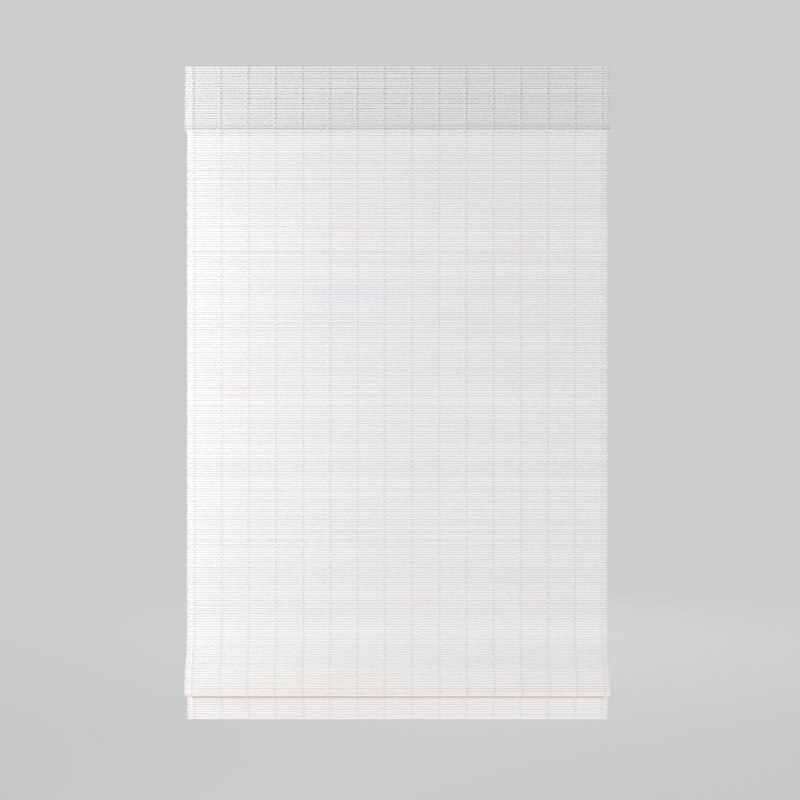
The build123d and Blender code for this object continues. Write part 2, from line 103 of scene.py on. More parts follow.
# %% Wires for shader sums
class Wire:
    """One output socket in a node tree. Sums with numbers or other wires add Math nodes."""

    def __init__(self, tree, socket=None):
        self.tree, self.socket = tree, socket

    def node(self, kind, settings=None, sockets=None, output=0):
        """A new node of this kind, and a wire from the output with this number."""
        made = self.tree.nodes.new(kind)
        for name, value in (settings or {}).items():
            setattr(made, name, value)
        for name, value in (sockets or {}).items():
            if isinstance(value, Wire):
                self.tree.links.new(value.socket, made.inputs[name])
            else:
                made.inputs[name].default_value = value
        return Wire(self.tree, made.outputs[output] if made.outputs else None)

    def out(self, name):
        """Another output of the same node."""
        return Wire(self.tree, self.socket.node.outputs[name])

    def math(self, operation, first, second=0.0, clamp=False):
        """A Math node on two values, kept between 0 and 1 if clamp is set."""
        settings = {"operation": operation, "use_clamp": clamp}
        return self.node("ShaderNodeMath", settings, {0: first, 1: second})

    def __add__(self, other):
        return self.math("ADD", self, other)

    def __radd__(self, other):
        return self.math("ADD", other, self)

    def __sub__(self, other):
        return self.math("SUBTRACT", self, other)

    def __rsub__(self, other):
        return self.math("SUBTRACT", other, self)

    def __mul__(self, other):
        return self.math("MULTIPLY", self, other)

    def __rmul__(self, other):
        return self.math("MULTIPLY", other, self)

    def __truediv__(self, other):
        return self.math("DIVIDE", self, other)

    def __rtruediv__(self, other):
        return self.math("DIVIDE", other, self)

    def step(self, low, high):
        """0 below low, 1 above high, and smooth between them."""
        settings = {"interpolation_type": "SMOOTHSTEP"}
        return self.node("ShaderNodeMapRange", settings, {"Value": self, "From Min": low, "From Max": high})

    def mix(self, factor, first, second):
        """A colour that goes from first to second as factor goes from 0 to 1."""
        first, second = ((*c, 1.0) if isinstance(c, tuple) else c for c in (first, second))
        return self.node("ShaderNodeMix", {"data_type": "RGBA"}, {0: factor, 6: first, 7: second}, 2)


def new_finish(name, roughness):
    """A material, its shader node, a wire to build on and its Object coordinates."""
    material = bpy.data.materials.new(name)
    material.use_nodes = True
    tree = material.node_tree
    shader = tree.nodes["Principled BSDF"]
    shader.inputs["Roughness"].default_value = roughness
    wire = Wire(tree)
    place = wire.node("ShaderNodeTexCoord", output=3)
    return material, shader, wire, place


def plug(wire, shader, socket):
    """Joins a wire to a socket of the shader."""
    wire.tree.links.new(wire.socket, shader.inputs[socket])


def relief(shader, height, strength, distance):
    """Bumps on the shader's surface that follow the wire called height, over a distance in metres."""
    sockets = {"Strength": strength, "Distance": distance, "Height": height}
    plug(height.node("ShaderNodeBump", None, sockets), shader, "Normal")


def noise_on(place, stretch, detail=2.0):
    """Noise whose cells are 1 / stretch metres long on each axis."""
    scaled = place.node("ShaderNodeVectorMath", {"operation": "MULTIPLY"}, {0: place, 1: stretch})
    return place.node("ShaderNodeTexNoise", None, {"Vector": scaled, "Scale": 1.0, "Detail": detail})


def darker(share, colour):
    """The colour with each channel at this share of itself."""
    return tuple(share * channel for channel in colour)


print("wires ready")

# %% [markdown]
# A white shade needs a background a little darker than itself, so a pale grey surrounds it. Only rays from
# the camera, and those that gloss or glass send back, see that grey: the light that falls on the shade is
# the plain white of the sky. A tall lamp close to the left edge makes that side the brighter one. A far
# lamp in front stands low, so that neither the valance nor the fold throws a dark shadow.

# %% Sky and lamps
sky_grey, sky_white, sky_light = (0.60, 0.605, 0.61, 1.0), (1.0, 1.0, 1.0, 1.0), 0.50
world = bpy.data.worlds.new("sky")
world.use_nodes = True
scene.world = world
world.node_tree.nodes.clear()
sky = Wire(world.node_tree)
path = sky.node("ShaderNodeLightPath")
seen = path.out("Is Camera Ray") + path.out("Is Glossy Ray")
shown = sky.math("ADD", seen, path.out("Is Transmission Ray"), True)
light = sky.node("ShaderNodeBackground", None, {"Color": sky_white, "Strength": sky_light})
grey = sky.node("ShaderNodeBackground", None, {"Color": sky_grey, "Strength": 1.0})
light_or_grey = sky.node("ShaderNodeMixShader", None, {0: shown, 1: light, 2: grey})
sky.node("ShaderNodeOutputWorld", None, {0: light_or_grey})


def soft_lamp(name, place, target, size, power, colour):
    """A lamp of this width and height at a place, turned to face a target. The camera doesn't see it."""
    data = bpy.data.lights.new(name, "AREA")
    data.shape, data.energy, data.color = "RECTANGLE", power, colour
    data.size, data.size_y = size
    lamp = bpy.data.objects.new(name, data)
    lamp.location = place
    lamp.visible_camera = False
    aim = np.array(target) - np.array(place)
    flat = math.hypot(aim[0], aim[1])
    lamp.rotation_euler = (math.atan2(flat, -aim[2]), 0.0, math.atan2(-aim[0], aim[1]))
    scene.collection.objects.link(lamp)


soft_lamp(
    "lamp_left",
    place=(-0.80, -0.42, -0.60),
    target=(0.0, 0.0, -0.65),
    size=(0.3, 1.6),
    power=2.8,
    colour=(1.0, 0.995, 0.985),
)
soft_lamp(
    "lamp_front",
    place=(1.0, -4.4, -1.40),
    target=(0.0, 0.0, -0.9),
    size=(1.8, 0.5),
    power=43.0,
    colour=(1.0, 0.99, 0.98),
)
soft_lamp(
    "lamp_back",
    place=(0.6, 4.4, 0.0),
    target=(0.0, 0.0, -0.7),
    size=(2.4, 2.4),
    power=50.0,
    colour=(0.98, 0.99, 1.0),
)
print("sky at", sky_light, "and", len(bpy.data.lights), "lamps")

# %% [markdown]
# The floor is a wide disc under the shade. Near the shade it is painted, and further out it fades into the
# grey of the sky, so that no horizon shows. It gives back more light than it shows to the camera, which
# keeps the underside of the fold bright. A plain white floor would do that too, but would show white.


# %% Floor
def add_piece(name, points, faces, materials, slots=None, smooth=True):
    """A mesh object in the scene, from points in metres, lists of their numbers, and materials.

    Slots says which of the materials each face has.
    """
    mesh = bpy.data.meshes.new(name)
    mesh.from_pydata(points.reshape(-1, 3).tolist(), [], faces)
    for material in materials:
        mesh.materials.append(material)
    if slots is not None:
        mesh.polygons.foreach_set("material_index", slots)
    mesh.polygons.foreach_set("use_smooth", np.full(len(faces), smooth))
    mesh.update()
    piece = bpy.data.objects.new(name, mesh)
    scene.collection.objects.link(piece)
    return piece


floor_drop, floor_radius, floor_rings, floor_spokes = 0.30, 9.0, 18, 64
floor_grey, floor_glow, bounce_white = (0.44, 0.445, 0.45, 1.0), 0.45, (1.0, 0.995, 0.985, 1.0)
fade_from, fade_to, bounce_share = 2.0, 4.6, 0.7

floor_paint, shader, wire, place = new_finish("floor_paint", 0.9)
shader.inputs["Base Color"].default_value = floor_grey
shader.inputs["Emission Color"].default_value = sky_grey
shader.inputs["Emission Strength"].default_value = floor_glow
far = wire.node("ShaderNodeVectorMath", {"operation": "LENGTH"}, {0: place}, 1).step(fade_from, fade_to)
camera_ray = wire.node("ShaderNodeLightPath").out("Is Camera Ray")
painted = Wire(wire.tree, shader.outputs[0])
faded = wire.node("ShaderNodeEmission", None, {"Color": sky_grey, "Strength": 1.0})
look = wire.node("ShaderNodeMixShader", None, {0: far * camera_ray, 1: painted, 2: faded})
bounce = wire.node("ShaderNodeEmission", None, {"Color": bounce_white, "Strength": 1.0})
look = wire.node("ShaderNodeMixShader", None, {0: (1.0 - camera_ray) * bounce_share, 1: look, 2: bounce})
wire.tree.links.new(look.socket, wire.tree.nodes["Material Output"].inputs[0])

floor_level = cad_low[2] - floor_drop
rings, spokes = np.linspace(0.0, floor_radius, floor_rings + 1), np.linspace(0, 2 * np.pi, floor_spokes + 1)
ring, turn = np.meshgrid(rings, spokes[:-1], indexing="ij")
floor_points = np.stack([ring * np.cos(turn), ring * np.sin(turn), np.full_like(ring, floor_level)], -1)
index = np.arange(ring.size).reshape(ring.shape)
across = np.roll(index, -1, axis=1)
floor_faces = np.stack([index[:-1], index[1:], across[1:], across[:-1]], -1).reshape(-1, 4).tolist()
floor = add_piece("floor", floor_points, floor_faces, [floor_paint], smooth=False)
floor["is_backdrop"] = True
print("floor at", round(floor_level, 3))

# %% [markdown]
# The panel is one long mat. From the side it is a line: straight down from the headrail, forward into a
# soft fold, round the fold's nose, up inside it, over the wooden rail and down again as a skirt.
# Such a line could be a curve object, but the reeds need its place and heading at hundreds of points,
# so it is worked out here from its runs, each with a length and the angle that it turns through.

# %% The panel's line, in millimetres
mm = 1000.0
panel_low, panel_high = (np.array(corner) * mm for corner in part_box("woven_panel"))
rail_low, rail_high = (np.array(corner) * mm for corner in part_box("bottom_rail"))
reed_thickness = 1.5
fold_reach, fold_radius = 36.0, 106.0
rail_show, pocket_slack, pocket_radius = 7.0, 2.5, 4.05
panel_y, panel_top = panel_high[1] - reed_thickness / 2, panel_high[2]
nose_radius = fold_reach / 2 - pocket_radius
nose_level = rail_low[2] + rail_show + reed_thickness / 2 + nose_radius
pocket_level = rail_high[2] - (rail_high[1] - rail_low[1]) / 2 + pocket_slack
fold_turn = math.acos(1 - fold_reach / (2 * fold_radius))
fold_length = fold_radius * fold_turn
fold_top = nose_level + 2 * fold_radius * math.sin(fold_turn)
straight_length = panel_top - fold_top
panel_runs = (
    (straight_length, 0.0),
    (fold_length, -fold_turn),
    (fold_length, fold_turn),
    (nose_radius * math.pi, math.pi),
    (pocket_level - nose_level, 0.0),
    (pocket_radius * math.pi, -math.pi),
    (pocket_level - panel_low[2], 0.0),
)
panel_line = (panel_runs, (panel_y, panel_top, -math.pi / 2))


def follow(runs, start, distance):
    """Where a mat's middle line is at each distance along it, and its heading there.

    On a run of length L that turns by T, the heading after d is T d / L more than at its start, and the
    chord from its start is d sin(a) / a at the mean heading, where a is half the angle turned so far.
    """
    length, turn = np.array(runs).T
    begin = np.cumsum(length) - length
    head = start[2] + np.cumsum(turn) - turn
    chord = length * np.sinc(turn / 2 / np.pi)
    step_y, step_z = chord * np.cos(head + turn / 2), chord * np.sin(head + turn / 2)
    begin_y, begin_z = start[0] + np.cumsum(step_y) - step_y, start[1] + np.cumsum(step_z) - step_z
    run = np.clip(np.searchsorted(begin, distance, side="right") - 1, 0, len(length) - 1)
    along = distance - begin[run]
    half = turn[run] / length[run] * along / 2
    chord = along * np.sinc(half / np.pi)
    mean = head[run] + half
    return begin_y[run] + chord * np.cos(mean), begin_z[run] + chord * np.sin(mean), mean + half


panel_length = sum(length for length, _ in panel_runs)
_, hem_level, _ = follow(*panel_line, np.array([panel_length]))
print("panel", round(panel_length, 1), "mm long, its hem at", round(float(hem_level[0]), 1))

# %% [markdown]
# A reed is a thin flat strip of wood with rounded edges. No two are quite alike: each has its own width and
# bows a little, so the dark grooves between them vary. Where a warp holds it, a reed is pinched narrower,
# which opens the small holes that show beside the thread. All reeds of a strip are one array.

# %% Reeds
thread_low, thread_high = (np.array(corner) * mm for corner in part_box("front_warp_threads"))
thread_width, warp_count = 2.6, 16
warp_first, warp_last = thread_low[0] + thread_width / 2, thread_high[0] - thread_width / 2
warp_places = np.linspace(warp_first, warp_last, warp_count)
warp_step = warp_places[1] - warp_places[0]
panel_half, panel_fill = panel_high[0], (0.932, 0.99)
reed_side = np.array([-1.0, -0.8, 0.0, 0.8, 1.0, 0.8, 0.0, -0.8])
reed_rise = np.array([0.0, 0.85, 1.0, 0.85, 0.0, -0.85, -1.0, -0.85])
reed_half_thickness, reed_reach = (0.62, 0.78), (-1.2, 0.0)
pinch_reach, pinch_spread, pinch_width, pinch_thickness = 3.2, 7.0, 0.13, 0.12


def grid_faces(points):
    """Four-sided faces on a grid whose last axis closes on itself, with a cap at both ends of each tube."""
    tubes, stations, corners = points.shape[:3]
    index = np.arange(tubes * stations * corners).reshape(tubes, stations, corners)
    near, far = index[:, :-1], index[:, 1:]
    sides = np.stack([near, np.roll(near, -1, 2), np.roll(far, -1, 2), far], -1).reshape(-1, 4)
    return sides.tolist() + index[:, 0, ::-1].tolist() + index[:, -1].tolist()


def lay_reeds(line, first, last, count, half_width, fill, seed):
    """Closed reeds side by side along part of a mat's line, in millimetres, and a tone for each point.

    Corner j of reed i at x is P(s) + (w u_j + bow) T + (t v_j + lift) N, where P, T and N are the line's
    point, heading and normal at the reed's middle, and w and t shrink at each warp by a bell curve.
    Fill is the least and the greatest share of its place that a reed takes up.
    """
    chance = np.random.default_rng(seed)
    pitch = (last - first) / count
    y, z, heading = follow(*line, first + pitch * (np.arange(count) + 0.5))
    inner = np.concatenate([warp_places + shift for shift in (-pinch_reach, 0.0, pinch_reach)])
    x = np.sort(np.concatenate([[-half_width, half_width], inner]))
    pinch = np.exp(-((x[:, None] - warp_places[None]) ** 2 / pinch_spread)).sum(1)

    def wave(height, shortest, longest):
        """A slow sine along each reed, with a length and a phase of its own."""
        length, phase = chance.uniform(shortest, longest, (count, 1)), chance.uniform(0, 6, (count, 1))
        return height * np.sin(x / length + phase)

    width = pitch / 2 * chance.uniform(*fill, (count, 1)) * (1 - pinch_width * pinch)
    width = width + wave(0.03, 60, 200)
    thick = chance.uniform(*reed_half_thickness, (count, 1)) * (1 - pinch_thickness * pinch)
    bow, lift = wave(0.10, 70, 240), wave(0.10, 40, 160)
    reach = chance.uniform(*reed_reach, (count, 2))
    along = bow[..., None] + width[..., None] * reed_side
    out = lift[..., None] + thick[..., None] * reed_rise
    head = heading[:, None, None]
    points = np.empty((count, len(x), len(reed_side), 3))
    points[..., 0] = x[None, :, None]
    points[:, 0, :, 0] -= reach[:, :1]
    points[:, -1, :, 0] += reach[:, 1:]
    points[..., 1] = y[:, None, None] + along * np.cos(head) + out * np.sin(head)
    points[..., 2] = z[:, None, None] + along * np.sin(head) - out * np.cos(head)
    tone = np.repeat(chance.uniform(0, 1, count), len(x) * len(reed_side))
    return points, tone


sample, _ = lay_reeds(panel_line, 0.0, 100.0, 18, panel_half, panel_fill, 1)
print("a sample of", sample.shape[0], "reeds has", sample[..., 0].size, "points")

# %% [markdown]
# Two warp strands hold each reed, one in front and one behind, and they change places in every groove while
# they step from side to side. From the front this reads as a narrow zigzag, wider on one warp than on the
# next. A strand could be a bevelled curve, but as one sine for its depth and one cosine for its sidestep it
# is a single array too.

# %% Warp strands
strand_side, strand_thick, strand_shift, strand_gap = 0.95, 0.32, -4.0, 0.5
strand_depth, strand_apart, wander_width, wander_length = 1.12, 0.3, 0.25, 37.0
strand_corners, steps_per_reed, strand_tone = 5, 4, 0.5
warp_chance = np.random.default_rng(7)
warp_throw = warp_chance.uniform(1.7, 2.9, (warp_count, 1, 1))
warp_phase = warp_chance.uniform(0, 6, (warp_count, 1, 1))


def lay_strands(line, first, last, count):
    """Pairs of warp strands along part of a mat's line, in millimetres.

    At phase f, which grows by half a turn at each reed, strand k is at x = warp + a cos f + k c, and at
    depth k b sin f from the line, with k = 1 or -1. Its section is an ellipse across x and the normal. It
    stops a little short of both ends, so that the strands of two strips don't cross where they fold.
    """
    steps = steps_per_reed * count + 1
    along = np.linspace(first + strand_gap, last - strand_gap, steps)
    y, z, heading = follow(*line, along)
    phase = np.pi * count * (along - first) / (last - first)
    kind = np.array([1.0, -1.0])[None, :, None]
    wander = wander_width * np.sin(along / wander_length + warp_phase)
    middle = warp_places[:, None, None] + strand_shift + wander
    x = middle + warp_throw * np.cos(phase) + strand_apart * kind
    depth = np.broadcast_to(strand_depth * kind * np.sin(phase), x.shape)
    turn = np.linspace(0, 2 * np.pi, strand_corners + 1)[:-1]
    across, out = strand_side * np.cos(turn), strand_thick * np.sin(turn)
    x, depth = x.reshape(-1, steps, 1), depth.reshape(-1, steps, 1)
    points = np.empty((len(x), steps, strand_corners, 3))
    points[..., 0] = x + across
    points[..., 1] = y[:, None] + (depth + out) * np.sin(heading)[:, None]
    points[..., 2] = z[:, None] - (depth + out) * np.cos(heading)[:, None]
    return points


def weave(name, line, first, last, count, half_width, fill, seed, paint, thread):
    """One piece of mat: its reeds and its strands in one mesh, with a tone for each reed."""
    reeds, tone = lay_reeds(line, first, last, count, half_width, fill, seed)
    strands = lay_strands(line, first, last, count)
    reed_faces, strand_faces = grid_faces(reeds), grid_faces(strands)
    start = reeds[..., 0].size
    points = np.concatenate([reeds.reshape(-1, 3), strands.reshape(-1, 3)]) / mm
    faces = reed_faces + [[start + corner for corner in face] for face in strand_faces]
    slots = np.repeat([0, 1], [len(reed_faces), len(strand_faces)])
    piece = add_piece(name, points, faces, [paint, thread], slots)
    tones = piece.data.attributes.new("reed_tone", "FLOAT", "POINT")
    tones.data.foreach_set("value", np.concatenate([tone, np.full(strands[..., 0].size, strand_tone)]))
    return piece


print("strands", 2 * strand_side, "by", 2 * strand_thick, "mm")

# %% [markdown]
# The paint on the reeds is brushed on, not thickly. It is a little thicker on one reed than on the next,
# streaks run along the wood, and soft warm and cool patches show where it lies thinner. On the panel the
# white is painted lighter just under the valance and from the fold on, painted light as if daylight came
# through there. Beside each warp a fine dark line of painted shade stands for the shadow of the thread and
# the holes beside it, and over the wooden rail a warm, darker stripe is painted, shade with the rail's colour
# glowing through the mat. The valance gets a greyer copy of the white, painted shade for the headrail behind it.

# %% Paint on the reeds
# A fine grey line of painted shade lies beside each warp, for the shadow of the thread and the holes beside it.
warp_shade_shift, warp_shade_from, warp_shade_to, warp_shade_grey = -0.6, 1.2, 3.6, (0.52, 0.51, 0.52)
patch_from, patch_to, patch_share, cool_white = 0.52, 0.82, 0.28, (0.80, 0.80, 0.90)
# The panel is painted whiter just under the valance and from the fold on: painted light, as if daylight came
# through there.
under_valance, fold_fade, low_share, lit_white = (-190.0, -150.0), 60.0, 0.12, (0.957, 0.946, 0.942)


def reed_paint(name, light, shade, warm_white, shade_band, shade_band_colour, shade_band_share, warp_shade_share, lit_share):
    """White paint on reeds: streaks along x, a tone a reed, soft patches and painted shade by each warp.

    The white gets a little warmer on the way down, and is painted lighter at the top and from the fold on,
    which is painted light. Its stripe of painted shade lies between four heights, in millimetres: its colour
    comes in from the first to the second and goes out from the third to the fourth.
    """
    material, shader, wire, place = new_finish(name, 0.58)
    shader.inputs["Specular IOR Level"].default_value = 0.3
    tone = wire.node("ShaderNodeAttribute", {"attribute_name": "reed_tone"}).out("Fac")
    streak = noise_on(place, (9.0, 700.0, 900.0), 3.0)
    warm = noise_on(place, (5.0, 5.0, 24.0)).step(patch_from, patch_to)
    cool = noise_on(place, (4.0, 9.0, 17.0)).step(patch_from, patch_to)
    parts = wire.node("ShaderNodeSeparateXYZ", None, {0: place})
    x, level = parts.out("X"), parts.out("Z") * mm
    steps = (x - (warp_first + warp_shade_shift - warp_step / 2) / mm) / (warp_step / mm)
    aside = wire.math("ABSOLUTE", wire.math("FRACT", steps) - 0.5) * warp_step
    line = 1.0 - aside.step(warp_shade_from, warp_shade_to)
    low = 1.0 - level.step(panel_low[2], under_valance[1])
    # Painted light: outside the middle span, near the valance and from the fold on, the white is lighter.
    middle_span = level.step(fold_top - fold_fade, fold_top + fold_fade) * (1.0 - level.step(*under_valance))
    # Painted shade: a darker stripe whose colour comes in and goes out between four heights.
    shade_band_mask = level.step(shade_band[0], shade_band[1]) * (1.0 - level.step(shade_band[2], shade_band[3])) * shade_band_share
    colour = wire.mix(tone * 0.7 + streak * 0.3, shade, light)
    colour = wire.mix(warm * patch_share + low * low_share, colour, warm_white)
    colour = wire.mix(cool * patch_share, colour, cool_white)
    colour = wire.mix((1.0 - middle_span) * lit_share, colour, lit_white)
    colour = wire.mix(shade_band_mask, colour, shade_band_colour)
    # Painted shade: grey mixed in along the line beside each warp.
    colour = wire.mix(line * warp_shade_share, colour, warp_shade_grey)
    plug(colour, shader, "Base Color")
    plug(0.5 + streak * 0.22, shader, "Roughness")
    relief(shader, streak, 0.25, 0.0004)
    return material


panel_paint = reed_paint(
    "panel_paint",
    light=(0.931, 0.928, 0.945),
    shade=(0.841, 0.838, 0.857),
    warm_white=(0.88, 0.79, 0.72),
    # Over the wooden rail the stripe is painted shade, warm as if the rail's colour glowed through the mat.
    shade_band=(rail_low[2] - 6, rail_low[2] + 3, rail_high[2] - 4, rail_high[2] + 14),
    shade_band_colour=(0.88, 0.81, 0.74),
    shade_band_share=0.42,
    warp_shade_share=0.13,
    lit_share=0.6,
)
# The valance's white is a greyer copy of the panel's, painted shade for the headrail behind it that keeps light
# from coming through.
valance_shaded_paint = reed_paint(
    "valance_shaded_paint",
    light=(0.854, 0.850, 0.870),
    shade=(0.786, 0.782, 0.804),
    warm_white=(0.82, 0.76, 0.72),
    # On the valance the stripe is painted shade, grey over the turned-up hem.
    shade_band=(-146.0, -144.0, -128.0, -126.0),
    shade_band_colour=(0.60, 0.60, 0.62),
    shade_band_share=0.35,
    warp_shade_share=0.24,
    lit_share=0.0,
)
print("paints", panel_paint.name, valance_shaded_paint.name)

# %% [markdown]
# Thread and cord are spun or braided, so fine slanting bands cross them. One wave texture gives the bands,
# in the colour and as relief: modelled plies would be far finer than the picture can show.


# %% Thread
def spun(name, roughness, dark, pale, scale, distortion, strength, distance):
    """Spun thread or braided cord: slanting plies, dark to pale, as colour and as relief."""
    material, shader, wire, place = new_finish(name, roughness)
    settings = {"wave_type": "BANDS", "bands_direction": "DIAGONAL"}
    sockets = {"Vector": place, "Scale": scale, "Distortion": distortion}
    ply = wire.node("ShaderNodeTexWave", settings, sockets, 1)
    plug(wire.mix(ply, dark, pale), shader, "Base Color")
    relief(shader, ply, strength, distance)
    return material


# The valance's thread is a shade greyer than the panel's, painted shade like the valance's white.
ply_shade, panel_pale, valance_shaded_pale = 0.95, (0.96, 0.96, 0.96), (0.95, 0.95, 0.96)
fine_ply = {"roughness": 0.8, "scale": 900.0, "distortion": 1.5, "strength": 0.4, "distance": 0.0002}
panel_thread = spun("panel_thread", dark=darker(ply_shade, panel_pale), pale=panel_pale, **fine_ply)
valance_thread = spun("valance_thread", dark=darker(ply_shade, valance_shaded_pale), pale=valance_shaded_pale, **fine_ply)
print("threads", panel_thread.name, valance_thread.name)

# %% [markdown]
# When the rail goes up, the lift cords draw the rows of rings together, and the mat between two rows folds
# forward. Cloth has no hinge there, so the mat is cut at the rings and half way between them, always in a
# groove. Each strip rides on the row that it hangs from. The slanting axis along which it would flatten,
# which would lay it down and push its free edge forward, is worked out for each strip but not applied here.

# %% Strips of the panel
row_count, half_count, band_count = 5, 20, 6
pleat_depths = (6.0, 6.0, 6.0, 6.0, 34.0)
lift = next(joint for joint in frame["joints"] if joint["name"] == "rail_lift")["range_m"][1] * mm
ring_boxes = [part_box(f"cord_rings_row_{k}") for k in range(1, row_count + 1)]
ring_middles = [(low[2] + high[2]) / 2 for low, high in ring_boxes]
ring_levels = np.array([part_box("headrail")[0][2]] + ring_middles) * mm
ring_drop = ring_levels[0] - ring_levels[1]
half_drop = ring_drop / 2
holders = ["headrail"] + [f"ring_row_{k}" for k in range(1, row_count + 1)]
packed = 1 - lift / (row_count + 1) / ring_drop


def hang(name, first, last, count, body, seed, fold=None):
    """A strip of the panel on a body. Fold gives the axis's slope, the share it keeps and its anchor; a strip with
    a fold gets a mesh of its own, and the three values are not used.
    """
    shape = (panel_line, first, last, count, panel_half, panel_fill, seed)
    strip = weave(name, *shape, panel_paint, panel_thread)
    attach(strip, body)
    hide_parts("woven_panel", "front_warp_threads", "back_warp_threads")
    if fold:
        slope, keep, anchor = fold
        tuple(v / mm for v in anchor)
        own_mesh(strip)
    (last - first) / mm
    return strip


strips = [hang("panel_top_band", 0.0, panel_top - ring_levels[0], band_count, "headrail", 10)]
for k, depth in enumerate(pleat_depths):
    slope = depth / half_drop / (1 - packed)
    keep = 1 - (1 - packed) * (1 + slope**2)
    upper, lower = ring_levels[k], ring_levels[k + 1]
    start = panel_top - upper
    middle, end = start + half_drop, start + 2 * half_drop
    first_fold = (-slope, keep, (0.0, panel_y, upper))
    second_fold = (slope, keep, (0.0, panel_y, lower))
    strips.append(hang(f"panel_{k}_upper", start, middle, half_count, holders[k], 20 + k, first_fold))
    strips.append(hang(f"panel_{k}_lower", middle, end, half_count, holders[k + 1], 30 + k, second_fold))
print(len(strips), "strips, folded to", round(packed, 3), "of their height")

# %% [markdown]
# The last strips are the soft fold. For its front half the same trick is worked out, about the lowest line
# of its nose, and the strip above it gets the slope that would make the two meet; neither is applied here.
# From the nose on, the mat goes round the rail and down as the skirt, and that part stays as it is and moves
# with the rail.

# %% The soft fold and the skirt
laid_angle, fold_keep = 15.0, 0.02
upper_count, fold_count, skirt_count = 16, 28, 21
nose = np.array([panel_y - fold_reach + nose_radius, nose_level - nose_radius])
fold_start, nose_start = straight_length, straight_length + 2 * fold_length + nose_radius * math.pi / 2
fold_edge = np.array([panel_y, fold_top])
fold_slope = math.tan(math.radians(laid_angle))
axis = np.array([fold_slope, 1.0]) / math.hypot(fold_slope, 1.0)
laid = fold_edge - (fold_edge - nose) @ axis * (1 - fold_keep) * axis + np.array([0.0, lift])
last_row = ring_levels[row_count]
hung = laid - np.array([panel_y, last_row + lift * row_count / (row_count + 1)])
above = last_row - fold_top
upper_slope = -hung[0] / (above + hung[1])
upper_keep = 1 - (1 + hung[1] / above) * (1 + upper_slope**2)
upper_fold = (-upper_slope, upper_keep, (0.0, panel_y, last_row))
front_fold = (fold_slope, fold_keep, (0.0, *nose))
upper_start = panel_top - last_row
strips.append(hang("panel_5_upper", upper_start, fold_start, upper_count, "ring_row_5", 40, upper_fold))
strips.append(hang("panel_fold", fold_start, nose_start, fold_count, "rail", 41, front_fold))
strips.append(hang("panel_skirt", nose_start, panel_length, skirt_count, "rail", 42))
print("fold laid at", laid.round(1), "keep", round(upper_keep, 3))

# %% [markdown]
# The valance is a second, shorter mat over the headrail. It leans a little forward, and its bottom edge is
# turned up behind it. A darker grey stripe of painted shade lies along the last few reeds, over the doubled
# hem. It is woven by the same function along a line of its own.

# %% Valance
valance_y, valance_top, valance_lean = -38.15, -2.5, 0.03
valance_drop, hem_turn, hem_depth, hem_start = 139.0, 3.299, 15.0, 142.4
valance_end = valance_drop + hem_turn + hem_depth
valance_runs = ((valance_drop, 0.0), (hem_turn, math.pi), (hem_depth, 0.0))
valance_line = (valance_runs, (valance_y, valance_top, -math.pi / 2 - valance_lean))
valance_half, valance_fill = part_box("valance")[1][0] * mm, (0.988, 1.0)
valance_parts = (
    ("valance_mat", 0.0, valance_drop, 26, 60, 0.139),
    ("valance_hem", hem_start, valance_end, 3, 61, 0.0149),
)
for name, first, last, count, seed, length in valance_parts:
    shape = (valance_line, first, last, count, valance_half, valance_fill, seed)
    piece = weave(name, *shape, valance_shaded_paint, valance_thread)
    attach(piece, "headrail")
    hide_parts("valance", "valance_warp_threads")
    print(name, len(piece.data.polygons), "faces")

# %% [markdown]
# A row of running stitches holds the hem. The thread goes in and out of the mat as a sine, with five
# corners round it. It could be a bevelled curve, but the function that makes the faces of the warp strands
# fits it as it is.

# %% Hem stitches
stitch_at, stitch_length, stitch_depth = 124.6, 6.0, 1.1
stitch_radius, stitch_half, stitch_steps = 0.35, 450.0, 1200
y, z, heading = follow(*valance_line, np.array([stitch_at]))
stitch_x = np.linspace(-stitch_half, stitch_half, stitch_steps + 1)
depth = stitch_depth * np.sin(2 * np.pi * stitch_x / stitch_length)[:, None]
turn = np.linspace(2 * np.pi, 0, strand_corners + 1)[:-1]
along, out = stitch_radius * np.cos(turn), depth + stitch_radius * np.sin(turn)
stitches = np.empty((1, len(stitch_x), len(turn), 3))
stitches[..., 0] = stitch_x[:, None]
stitches[..., 1] = y + along * np.cos(heading) + out * np.sin(heading)
stitches[..., 2] = z + along * np.sin(heading) - out * np.cos(heading)
hem_stitches = add_piece("hem_stitches", stitches / mm, grid_faces(stitches), [valance_thread])
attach(hem_stitches, "headrail")
print("hem stitched at", round(float(z[0]), 1))

# %% [markdown]
# Each cord ring is moulded plastic, smooth all round, and a loop of thread sews it to the back of the mat.
# Both are tori, so one function of two angles makes every ring and every loop of a row.

# %% Rings
ring_radius, ring_wire = 5.0, (1.0, 1.0)
loop_radius, loop_wire, loop_behind, loop_aside = 1.75, (0.28, 0.32), 2.1, 0.6
torus_round, torus_section = 32, 10
cord_sides = ("left", "right")
cord_boxes = [np.array(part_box(f"lift_cord_{side}")) * mm for side in cord_sides]
cord_places = [box[:, 0].mean() for box in cord_boxes]
cord_y, cord_top, cord_bottom = cord_boxes[0][:, 1].mean(), cord_boxes[0][1, 2], cord_boxes[0][0, 2]


def tori(centres, axes, big, small):
    """Tori in millimetres: centre + (R + r cos b)(cos a U + sin a V) + h sin b W, for each centre."""
    a = np.linspace(0, 2 * np.pi, torus_round + 1)[:-1, None, None]
    b = np.linspace(0, 2 * np.pi, torus_section + 1)[None, :-1, None]
    u, v, w = (np.array(axis, float) for axis in axes)
    shape = (big + small[0] * np.cos(b)) * (np.cos(a) * u + np.sin(a) * v) + small[1] * np.sin(b) * w
    return np.array(centres, float)[:, None, None, :] + shape[None]


